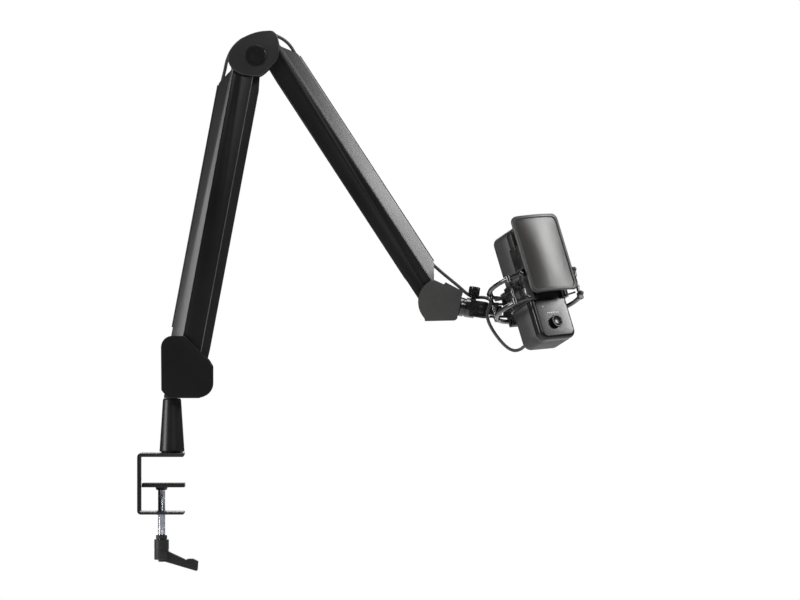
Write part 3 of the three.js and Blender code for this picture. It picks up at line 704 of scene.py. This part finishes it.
def layLead(name, route, bodies, node, finish):
    path = [p * mm for p in curvedPath(route)]
    for i, part in enumerate(cutPath(path, len(bodies) - 1)):
        piece = tubed(f"{name}{i + 1}", part, lead["radius"] * mm, lead["sides"])
        piece.data.materials.append(materials[finish])
        smoothed(piece, 60)
        bodies[i + 1]
        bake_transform(piece)
        if i == 0:
            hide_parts(node)
        pathLength(part)


layLead("ElbowLead", [(x, 0, z) for x, z in elbowRoute], ["upper_arm", "elbow", "lower_arm"],
        "elbow_lead", "braid")
layLead("MicrophoneLead", microphoneRoute,
        ["upper_arm", "wrist", "tip", "tilt", "mount", "microphone"], "microphone_lead", "braid")
print("lead laid")

# ---- desk clamp
clamp = {"left": -36.6, "right": 13, "top": 4, "bottom": -61.8, "plate": 2.8, "corner": 4, "half": 25}
screw = {"x": -11.2, "radius": 4, "pitch": 1.25, "depth": 0.13, "boss": 5.6, "tip": -33.3, "end": -106,
         "threadEnd": -86, "collarLow": -88.7, "collarHigh": -84.4}


def makeClampBracket():
    c = clamp
    inner = c["corner"] - c["plate"]
    low, high = c["bottom"], c["top"]
    corners = [(c["right"], high, 0), (c["left"], high, c["corner"]), (c["left"], low, c["corner"]),
               (c["right"], low, 0), (c["right"], low + c["plate"], 0),
               (c["left"] + c["plate"], low + c["plate"], inner),
               (c["left"] + c["plate"], high - c["plate"], inner), (c["right"], high - c["plate"], 0)]
    bent = slab("ClampBracket", arcPoints(corners, 8), -c["half"], c["half"], 0.5, 3)
    r, top = screw["boss"], low + c["plate"]
    boss = turned("boss", [(r, low - 0.8), (r + 0.3, low - 0.5), (r + 0.3, top + 0.5), (r, top + 0.8)])
    shifted(boss, screw["x"], 0, 0)
    bracket = merged("ClampBracketBody", bent, boss)
    settled(bracket, inMm, "clamp", "black_powder", ("clamp_bracket",))


makeClampBracket()
refined("desk_pad", "black_rubber", 0.3)
refined("pressure_plate", "black_powder", 0.4, flat=3)
refined("pressure_pad", "black_rubber", 0.3, flat=3)


def makeScrew():
    # a rod with a true helical thread
    r, pitch, depth, sides = screw["radius"], screw["pitch"], screw["depth"], 24
    low, high = screw["threadEnd"], screw["tip"] - 2
    rings = []
    for level in range(int((high - low) / pitch) * 4 + 1):
        waves = [r - depth * (1 - math.cos(2 * math.pi * (level / 4 - k / sides))) for k in range(sides)]
        rings.append([(wave * math.cos(2 * math.pi * k / sides), wave * math.sin(2 * math.pi * k / sides),
                       low + level * pitch / 4) for k, wave in enumerate(waves)])
    thread = lofted("thread", rings)
    point = turned("point", [(r - 0.3, high - 0.2), (r - 0.3, high + 1), (r - 1.2, screw["tip"])])
    shank = turned("shank", [(r - 0.4, screw["end"]), (r, screw["end"] + 0.4), (r, low + 0.2)])
    rod = merged("ClampScrewRod", thread, point, shank)
    shifted(rod, screw["x"], 0, 0)
    settled(rod, inMm, "clamp_screw", "plated_steel", ("clamp_screw",), angle=40)
    r, low, high = screw["boss"] + 0.4, screw["collarLow"], screw["collarHigh"]
    collar = turned("ClampScrewCollar", [(r - 0.4, low), (r, low + 0.4), (r, high - 0.4), (r - 0.4, high)])
    shifted(collar, screw["x"], 0, 0)
    settled(collar, inMm, "clamp_screw", "black_plastic")


makeScrew()


def makeLever():
    hub = turned("hub", [(7, -111), (7.7, -110.7), (7.9, -110), (7.9, -101), (7.6, -100.7),
                         (7.6, -100.1), (7.9, -99.8), (7.9, -89.5), (7.5, -89)])
    cap = turned("cap", [(3, -113.2), (3.5, -112.9), (3.6, -110.9)])
    corners = [(-9, -99.5, 1), (-4.3, -101.6, 3), (15.6, -111, 3), (16.8, -109.9, 1),
               (22.8, -109.7, 3), (28.3, -112.4, 0.8), (27.6, -123.4, 1.6), (-9, -112.6, 1)]
    blade = slab("blade", arcPoints(corners, 5), -4.8, 4.8, 1.4, 4)
    arm = merged("ClampLeverArm", shifted(hub, screw["x"], 0, 0), blade, shifted(cap, screw["x"], 0, 0))
    settled(arm, inMm, "clamp_lever", "black_plastic", ("clamp_lever",))


makeLever()


def makeRiser():
    post = turned("RiserPost", [(11.5, 4.3), (11.7, 5.1), (13.1, 5.3), (13.4, 5.9), (13.5, 6.6),
                                (13.3, 7.6), (9.9, 60), (9.7, 61.2), (9.3, 62), (8.8, 62.4), (6, 62.4),
                                (6, 73.4), (5.5, 74)], 72)
    settled(post, inMm, "clamp", "riser_black", ("riser_post",))


makeRiser()
print("clamp made")

# ---- turning base
cover = {"inner": 19.3, "outer": 22.5}


def pairOfCovers(name, points, body, finish, nodes, edge):
    for side, node in zip((-1, 1), nodes):
        low, high = sorted((side * cover["inner"], side * cover["outer"]))
        plate = slab(f"{name}{'Front' if side < 0 else 'Back'}", points, low, high, edge, 3)
        settled(plate, inMm, body, finish, (node,))


baseCorners = [(-11.3, 130, 15), (14.5, 129.8, 3), (39.8, 103.7, 4), (43.9, 97, 6), (43.9, 63.4, 15),
               (-3.8, 63.4, 1), (-10.8, 71.5, 2)]
pairOfCovers("BaseCover", arcPoints(baseCorners, 8), "turret", "cover_black",
             ("base_cover_front", "base_cover_back"), 0.9)
refined("base_bracket", "satin_grey", 0.3)

# ---- arms, tie bars and what they hold
for node, finish in (("lower_arm_channel", "arm_grey"), ("upper_arm_channel", "arm_black"),
                     ("lower_arm_cover", "black_powder"), ("upper_arm_cover", "black_powder"),
                     ("lower_tie_bar", "black_powder"), ("upper_tie_bar", "black_powder")):
    refined(node, finish, 0.45)


def makeArmEdges():
    # the rolled inner edges of the arms' walls; on the lower arm they are pale, a painted highlight along
    # the edge
    for name, place, body, finish, depth, start, end in (
            ("LowerArmEdgeHighlight", inLower, "lower_arm", "painted_highlight_grey", -18.9, 6, 322),
            ("UpperArmEdge", inUpper, "upper_arm", "arm_black", -14.8, 22, 316)):
        for side, where in ((-1, "Front"), (1, "Back")):
            ys = sorted((side * 17.9, side * 19.05))
            strip = block(name + where, (start, ys[0], depth - 0.15), (end, ys[1], depth + 0.75), 0.3, 2)
            settled(strip, place, body, finish)


makeArmEdges()
spring = {"turns": 62, "perTurn": 12, "radius": 4.1, "wire": 0.75, "hook": 7, "start": 34, "end": 190}


def makeSpring(node, body, place, depth):
    # a close-wound spring with a hook at each end
    turns, radius, hook = spring["turns"], spring["radius"], spring["hook"]
    start, end = spring["start"], spring["end"]
    coil = []
    count = turns * spring["perTurn"]
    for i in range(count + 1):
        t = i / count
        turn = 2 * math.pi * turns * t
        coil.append(Vector((start + hook + (end - start - 2 * hook) * t, radius * math.cos(turn),
                            depth + radius * math.sin(turn))))
    hooks = []
    for at, way in ((start, 1), (end, -1)):
        hooks.append(curvedPath([(at, 0, depth - 1.2), (at - way * 0.3, 0, depth + 1.4),
                                 (at + way * 3, 0, depth + 1.8),
                                 (at + way * 6.6, radius * 0.6, depth + 2.4),
                                 (at + way * hook, radius, depth)], 6))
    pieces = [tubed("part", path, spring["wire"], 6) for path in [coil] + hooks]
    for piece in pieces:
        piece.data.uv_layers.remove(piece.data.uv_layers[0])
    wound = merged(node.title().replace("_", "") + "Coil", *pieces)
    settled(wound, place, body, "plated_steel", (node,), angle=60)


makeSpring("lower_arm_spring", "lower_arm", inLower, 2)
makeSpring("upper_arm_spring", "upper_arm", inUpper, 6.6)
print("arms made")

# ---- elbow
elbowOutline = [(60.3, 428.5), (64.8, 439.1), (72, 446), (79.9, 451.1), (87, 454.1), (95, 456.2),
                (103, 457), (108, 456.8), (111.8, 454.1), (114.2, 448.5), (115.3, 442.1), (115.6, 434.5),
                (113.8, 427), (109.5, 421), (104, 415.7), (96.5, 409.4), (92.5, 408.1), (87.4, 408.3),
                (80, 409.2), (73.9, 410.7), (69, 413.2), (64.8, 416.6), (61.8, 421.5)]


def smoothLoop(points, per=4):
    # a closed smooth curve through the points
    count = len(points)
    spun = [Vector((*points[i % count], 0)) for i in range(-3, count + 3)]
    path = curvedPath(spun, per)
    return [(p.x, p.y) for p in path[3 * per:(3 + count) * per]]


pairOfCovers("ElbowCap", smoothLoop(elbowOutline), "elbow", "satin_grey",
             ("elbow_cap_front", "elbow_cap_back"), 1.1)
refined("elbow_bracket", "satin_grey", 0.3)
badge = {"x": 90.5, "z": 429.8, "radius": 11.6, "proud": 0.45}


def makeBadges():
    r, seat = badge["radius"], cover["outer"]
    face = seat + badge["proud"]
    profile = [(r - 0.2, seat - 0.4), (r, seat), (r, face - 0.1), (r - 0.1, face), (r - 1.5, face),
               (r - 1.7, face - 0.3), (5, face - 0.3), (4.8, face), (0.2, face)]
    for side, name in ((-1, "Front"), (1, "Back")):
        disc = tipped(turned(f"ElbowBadge{name}", profile, 64), "Y")
        if side < 0:
            disc.data.transform(Matrix.Rotation(math.pi, 4, "Z"))
        shifted(disc, badge["x"], 0, badge["z"])
        settled(disc, inMm, "elbow", "gloss_black")


makeBadges()
print("elbow made")

# ---- wrist and tip
wristCorners = [(271.9, 145.5, 1), (305.9, 146.2, 4), (312, 174.6, 0.6), (312.9, 177.4, 0.4),
                (294.1, 187.3, 0.4), (292.3, 185, 0.4), (282.4, 189.6, 1)]


def makeWristCover():
    # its arm side is one round arc, and its upper front edge is stepped out a little
    centre, r, arc = (290.3, 166.1), 25.8, (109, 223)
    steps = 22
    turns = [math.radians(arc[0] + (arc[1] - arc[0]) * k / steps) for k in range(1, steps)]
    rim = [(centre[0] + r * math.cos(a), centre[1] + r * math.sin(a)) for a in turns]
    outline = rim + arcPoints(wristCorners, 5)
    plate = slab("WristCoverFront", outline, -cover["outer"], -cover["inner"], 0.9, 3)
    settled(plate, inMm, "wrist", "grey_plastic", ("wrist_cover_front",))


makeWristCover()
for node, finish in (("wrist_housing", "grey_plastic"),
                     ("tip_barrel", "gloss_black"), ("tilt_lug", "gloss_black"),
                     ("mount_block", "black_plastic"), ("tilt_pin", "black_powder"),
                     ("cradle", "gloss_black"), ("usb_plug", "black_plastic")):
    refined(node, finish, 0.35, flat=4 if node in ("tip_barrel", "mount_block") else 1.5)
thumb = {"along": 13, "ridges": 24, "sides": 96, "ridge": 0.3}


def makeThumbscrew():
    # a knurled head on a short neck, standing on the barrel
    ridges, sides = thumb["ridges"], thumb["sides"]
    head = []
    for r, z in ((5.0, 13.6), (5.7, 14.3), (5.7, 22.4), (5.1, 23.2)):
        depth = thumb["ridge"] if 14 < z < 23 else 0
        turns = [2 * math.pi * k / sides for k in range(sides)]
        reach = [r + depth * math.cos(ridges * a) for a in turns]
        head.append([(out * math.cos(a), out * math.sin(a), z) for out, a in zip(reach, turns)])
    knurl = lofted("knurl", head)
    neck = turned("neck", [(2.2, 3.6), (2.2, 10.9), (3.7, 10.9), (4, 11.2), (4, 13.8)], 32)
    dimple = turned("dimple", [(3.4, 23.1), (3.3, 23.4), (0.2, 23.4)], 32)
    whole = merged("TipThumbscrew", knurl, neck, dimple)
    shifted(whole, thumb["along"], 0, 0)
    settled(whole, inTip, "thumbscrew", "gloss_black", ("tip_thumbscrew",))


makeThumbscrew()
print("wrist and tip made")

# ---- shock mount: two open rings, four posts, elastic bands
ring = {"radius": 47, "rod": 2.5, "upper": 7.5, "lower": -20, "mouth": 50}
posts = {"front_left": (-44, -18), "front_right": (44, -18), "back_left": (-33.5, 33),
         "back_right": (33.5, 33)}


def ringPath(radius, z, count=64):
    reach = math.radians(180 - ring["mouth"])
    turns = [-reach + 2 * reach * i / count for i in range(count + 1)]
    return [Vector((radius * math.sin(a), radius * math.cos(a), z)) for a in turns]


def makeRings():
    for level in ("upper", "lower"):
        name = "Ring" + level.title()
        path = ringPath(ring["radius"], ring[level])
        rod = tubed(name, path, ring["rod"], 20)
        for end in (path[0], path[-1]):
            deselect()
            bpy.ops.mesh.primitive_uv_sphere_add(segments=20, ring_count=12, location=end,
                                                 radius=ring["rod"] * 1.18)
            knob = sealed(bpy.context.object)
            rod = merged(name, rod, knob)
        settled(rod, inMic, "mount", "gloss_black", ("ring_" + level,), angle=60)


def makePosts():
    low, high = ring["lower"] + 2.4, ring["upper"] - 2.4
    capSteps = [(2.9, 0), (3.3, 0.4), (3.3, 4.9), (2.9, 5.3), (1.9, 5.3), (1.8, 4.9), (0.3, 4.9)]
    for name, (x, y) in posts.items():
        title = name.title().replace("_", "")
        post = turned("Post" + title, [
            (2.7, low), (3.2, low + 0.4), (3.2, low + 1.8), (1.9, low + 3), (1.8, low + 8), (2.5, low + 8.4),
            (2.5, low + 10.4), (1.8, low + 10.8), (1.8, high - 3), (1.9, high - 2.8),
            (3.2, high - 1.8), (3.2, high - 0.4), (2.7, high)], 32)
        shifted(post, x, y, 0)
        settled(post, inMic, "mount", "gloss_black", ("post_" + name,))
        for way, z, end in ((1, ring["upper"], "Top"), (-1, ring["lower"], "Foot")):
            # a cap on the rod's end, with a shallow dimple
            cap = turned(f"PostCap{title}{end}", capSteps, 28)
            if way < 0:
                cap.data.transform(Matrix.Rotation(math.pi, 4, "X"))
            shifted(cap, x, y, z - way * 2.6)
            settled(cap, inMic, "mount", "gloss_black")


bandLoop = [(-41, -15.8), (-29.4, -2), (-28.6, 10), (-31.6, 29.4), (-16, 24.8), (0, 23.4), (16, 24.8),
            (31.6, 29.4), (28.6, 10), (29.4, -2), (41, -15.8)]
# where the loop is held, by point: on a post or on the cradle
bandHeld = [(0, "mount"), (1, "microphone"), (2, "microphone"), (3, "mount"), (5, "microphone"),
            (7, "mount"), (8, "microphone"), (9, "microphone"), (10, "mount")]
bands = {"steps": 7, "radius": 0.95, "belowUpper": 7.6, "aboveLower": 6.4}


def makeBands():
    steps = bands["steps"]
    for name, node, z in (("BandUpper", "band_upper", ring["upper"] - bands["belowUpper"]),
                          ("BandLower", "band_lower", ring["lower"] + bands["aboveLower"])):
        path = [inMic @ p for p in curvedPath([(x, y, z) for x, y in bandLoop], steps)]
        for i, ((start, first), (end, second)) in enumerate(zip(bandHeld, bandHeld[1:])):
            part = path[start * steps:end * steps + 1]
            band = tubed(f"{name}{i + 1}", part, bands["radius"] * mm, 10)
            band.data.materials.append(materials["band_cord"])
            smoothed(band, 60)
            if first == second:
                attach(band, first)
            else:
                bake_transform(band)
            if i == 0:
                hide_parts(node)


makeRings()
makePosts()
makeBands()


def makeCradleLips():
    # the light-edged lips that hold the microphone at its front corners
    low, high = ring["lower"] + 0.6, ring["upper"] - 0.6
    studSteps = [(2.4, 0), (2.4, 1.3), (2.0, 1.7), (0.9, 1.7), (0.8, 1.4), (0.1, 1.4)]
    for side, name in ((-1, "Left"), (1, "Right")):
        lip = block(f"CradleLip{name}", (-1.1, -3.6, low), (1.1, 3.6, high), 0.5, 3)
        lip.data.transform(Matrix.Rotation(math.radians(-38 * side), 4, "Z"))
        shifted(lip, side * 24.6, -21.2, 0)
        settled(lip, inMic, "microphone", "edge_grey")
        for z, level in ((ring["lower"] + 5, "Low"), (ring["upper"] - 5, "High")):
            stud = turned(f"CradleStud{name}{level}", studSteps, 24)
            stud.data.transform(Matrix.Rotation(math.radians(90 * side), 4, "Y"))
            shifted(stud, side * 26.2, -8, z)
            settled(stud, inMic, "microphone", "gloss_black")


makeCradleLips()
print("shock mount made")

# ---- microphone body
body = {"halfWidth": 23.5, "halfDepth": 19.5, "halfHeight": 64.5, "corner": 9, "split": -9, "wall": 2,
        "seam": -19.5, "rearRound": 6, "frontRound": 4}


def crowned(inset, start, crown, round):
    # outlines from a straight rim at y = start to a rounded crown
    way = 1 if crown > start else -1
    b, steps = body, 8
    levels = [(0, start), (0, (start + crown - way * round) / 2), (0, crown - way * round)]
    for k in range(1, steps + 1):
        turn = math.pi / 2 * k / steps
        levels.append((round * (1 - math.cos(turn)), crown - way * round * (1 - math.sin(turn))))
    found = []
    for shrink, y in levels:
        less = inset + shrink
        outline = roundedBox(b["halfWidth"] - less, b["halfHeight"] - less, b["corner"] - less, 10)
        found.append([(x, y, z) for x, z in outline])
    return found


def hollowShell(name, rim, crown, round):
    wall = body["wall"]
    way = 1 if crown > rim else -1
    outer = crowned(0, rim, crown, round)
    inner = crowned(wall, rim, crown - way * wall, round - 1)
    return lofted(name, inner[::-1] + outer)


def planarMap(piece, pitch):
    # a flat map over the piece's own width and height
    chart = piece.data.uv_layers.new(name="flat")
    for polygon in piece.data.polygons:
        for loop in polygon.loop_indices:
            spot = piece.data.vertices[piece.data.loops[loop].vertex_index].co
            chart.data[loop].uv = (spot.x / pitch + 0.25 * spot.y, spot.z / pitch)


def halved(piece, z, keepAbove):
    choose(piece)
    bpy.ops.object.mode_set(mode="EDIT")
    bpy.ops.mesh.select_all(action="SELECT")
    bpy.ops.mesh.bisect(plane_co=(0, 0, z), plane_no=(0, 0, 1), use_fill=True, clear_inner=keepAbove,
                        clear_outer=not keepAbove)
    bpy.ops.object.mode_set(mode="OBJECT")
    return piece


def makeMicrophoneShells():
    b = body
    rear = hollowShell("RearShell", b["split"], b["halfDepth"], b["rearRound"])
    bevelled(rear, 0.35, 2, 60)
    settled(rear, inMic, "microphone", "shell_grey", ("rear_shell",))
    front = hollowShell("FrontGrille", b["split"] - 0.3, -b["halfDepth"], b["frontRound"])
    bevelled(front, 0.3, 2, 60)
    panel = front.copy()
    panel.data = front.data.copy()
    panel.name = panel.data.name = "FrontPanel"
    bpy.context.scene.collection.objects.link(panel)
    halved(front, b["seam"] + 0.3, True)
    planarMap(front, 1.3)
    settled(front, inMic, "microphone", "grille_wire", ("front_grille",))
    halved(panel, b["seam"], False)
    well = tipped(turned("well", [(7.6, -1.1), (7.6, 2)], 48), "Y")
    well.data.transform(Matrix.Rotation(math.pi, 4, "Z"))
    shifted(well, 0, -b["halfDepth"], dialSpot["z"])
    carved(panel, well)
    settled(panel, inMic, "microphone", "panel_black", ("front_panel",))
    # a fine pale line in the joint between the two halves, a painted highlight along the seam
    line = slab("ShellSeamHighlight", roundedBox(b["halfWidth"] + 0.12, b["halfHeight"] + 0.12, b["corner"], 10),
                b["split"] - 0.55, b["split"] + 0.05, 0)
    settled(line, inMic, "microphone", "painted_highlight_grey")


makeMicrophoneShells()


def makeLights():
    # a row of small lights above the dial, and one more higher up
    lights = {"row": 7, "width": 14, "z": -35.5, "single": (-11.6, -28)}
    step = lights["width"] / (lights["row"] - 1)
    spots = [(-lights["width"] / 2 + step * i, lights["z"]) for i in range(lights["row"])]
    for i, (x, z) in enumerate(spots + [lights["single"]]):
        lamp = turned(f"StatusLight{i + 1}", [(0.42, 0), (0.4, 0.2), (0.25, 0.27)], 16)
        tipped(lamp, "Y")
        lamp.data.transform(Matrix.Rotation(math.pi, 4, "Z"))
        shifted(lamp, x, -body["halfDepth"] + 0.05, z)
        settled(lamp, inMic, "microphone", "led_white")


makeLights()


def makeDial():
    face, sides = body["halfDepth"], 72
    dialBack = [(6.2, face + 0.5), (6.5, face + 0.8), (6.5, face + 3.2), (6.2, face + 3.8)]
    dish = [(5.5, face + 3.9), (5.1, face + 3.6), (3.4, face + 3.0), (1.6, face + 2.75), (0.2, face + 2.7)]
    knob = tipped(turned("DialKnob", dialBack + dish, sides), "Y")
    knob.data.transform(Matrix.Rotation(math.pi, 4, "Z"))
    shifted(knob, 0, 0, dialSpot["z"])
    settled(knob, inMic, "dial", "panel_black", ("dial",))
    # a pale ring on the knob's front rim: a painted highlight
    rimHighlight = [(5.9, face + 3.5), (6.6, face + 3.5), (6.6, face + 3.8), (6.25, face + 4.05), (5.9, face + 3.95)]
    turns = [2 * math.pi * k / sides for k in range(sides)]
    loops = [[(r * math.cos(a), -y, dialSpot["z"] + r * math.sin(a)) for a in turns]
             for r, y in rimHighlight + rimHighlight[:1]]
    band = lofted("DialRimHighlight", loops, (False, False))
    settled(band, inMic, "dial", "painted_rim_highlight")


makeDial()
print("microphone made")

# ---- pop filter
pop = {"halfWidth": 31.2, "halfHeight": 43.6, "z": 26.9, "y": -33.2, "corner": 7, "strip": 3.4, "bow": 3.2,
       "thick": 2.6}


def bowed(x, y):
    return y - pop["bow"] * (1 - (x / pop["halfWidth"]) ** 2)


def popOutline():
    p = pop
    return [(x, z + p["z"]) for x, z in roundedBox(p["halfWidth"], p["halfHeight"], p["corner"], 10)]


def splitEdges(points, longest=3):
    # extra points on long stretches, so that they can follow the bow
    found = []
    for i, a in enumerate(points):
        b = points[(i + 1) % len(points)]
        steps = max(1, math.ceil(math.dist(a, b) / longest))
        found += [(a[0] + (b[0] - a[0]) * k / steps, a[1] + (b[1] - a[1]) * k / steps) for k in range(steps)]
    return found


def drawnIn(outline, inset):
    # the frame's outline drawn in towards its middle
    p = pop
    fx = (p["halfWidth"] - inset) / p["halfWidth"]
    fz = (p["halfHeight"] - inset) / p["halfHeight"]
    return [(x * fx, p["z"] + (z - p["z"]) * fz) for x, z in outline]


def makePopFrame():
    p = pop
    outer = splitEdges(popOutline())
    half, strip = p["thick"] / 2, p["strip"]
    section = [(0.7, -half), (0.2, -half + 0.2), (0, -half + 0.7), (0, half - 0.7), (0.2, half - 0.2),
               (0.7, half), (strip - 0.5, half), (strip, half - 0.5), (strip, -half + 0.5),
               (strip - 0.5, -half)]
    rings = [[(x, bowed(x, p["y"] + depth), z) for x, z in drawnIn(outer, inset)]
             for inset, depth in section + section[:1]]
    rim = lofted("PopFilterFrame", rings, (False, False))
    settled(rim, inMic, "pop_filter", "rim_grey", ("pop_filter_frame",))
    for side, name in ((-1, "Left"), (1, "Right")):
        xs = sorted((side * 24.1, side * 29.4))
        leg = block(f"PopFilterLeg{name}", (xs[0], p["y"] + 0.9, p["z"] - 13),
                    (xs[1], -13.4, p["z"] + 13), 1.2, 4)
        settled(leg, inMic, "pop_filter", "gloss_black")


def makePopScreen():
    # one curved sheet of fine woven wire
    p = pop
    inset = p["strip"] - 0.3
    halfX, halfZ = p["halfWidth"] - inset, p["halfHeight"] - inset
    deselect()
    bpy.ops.mesh.primitive_grid_add(x_subdivisions=36, y_subdivisions=48, size=2)
    sheet = bpy.context.object
    sheet.name = sheet.data.name = "PopFilterScreen"
    for vertex in sheet.data.vertices:
        x, z = vertex.co.x * halfX, vertex.co.y * halfZ
        swell = 1.2 * (1 - vertex.co.x ** 2) * (1 - vertex.co.y ** 2)
        vertex.co = (x, bowed(x, p["y"]) - swell, z + p["z"])
    sealed(sheet)
    thick = sheet.modifiers.new("thickness", "SOLIDIFY")
    thick.thickness = 0.5
    applyAll(sheet)
    settled(sheet, inMic, "pop_filter", "mesh_grey", ("pop_filter_screen",))


makePopFrame()
makePopScreen()
print("pop filter made")

# ---- the hidden pieces keep their shape and get real finishes
inner = {
    "plated_steel": ("base_arm_pin", "base_tie_pin", "elbow_lower_pin", "elbow_upper_pin",
                     "elbow_lower_tie_pin", "elbow_upper_tie_pin", "wrist_arm_pin", "wrist_tie_pin",
                     "swivel_pin", "encoder_shaft"),
    "braid": ("lower_arm_cable", "upper_arm_cable"),
    "gold_film": ("capsule",),
    "green_board": ("circuit_board",),
}
for finish, nodes in inner.items():
    for node in nodes:
        repaint(node, finish)
print("inner pieces painted:", sum(len(nodes) for nodes in inner.values()))
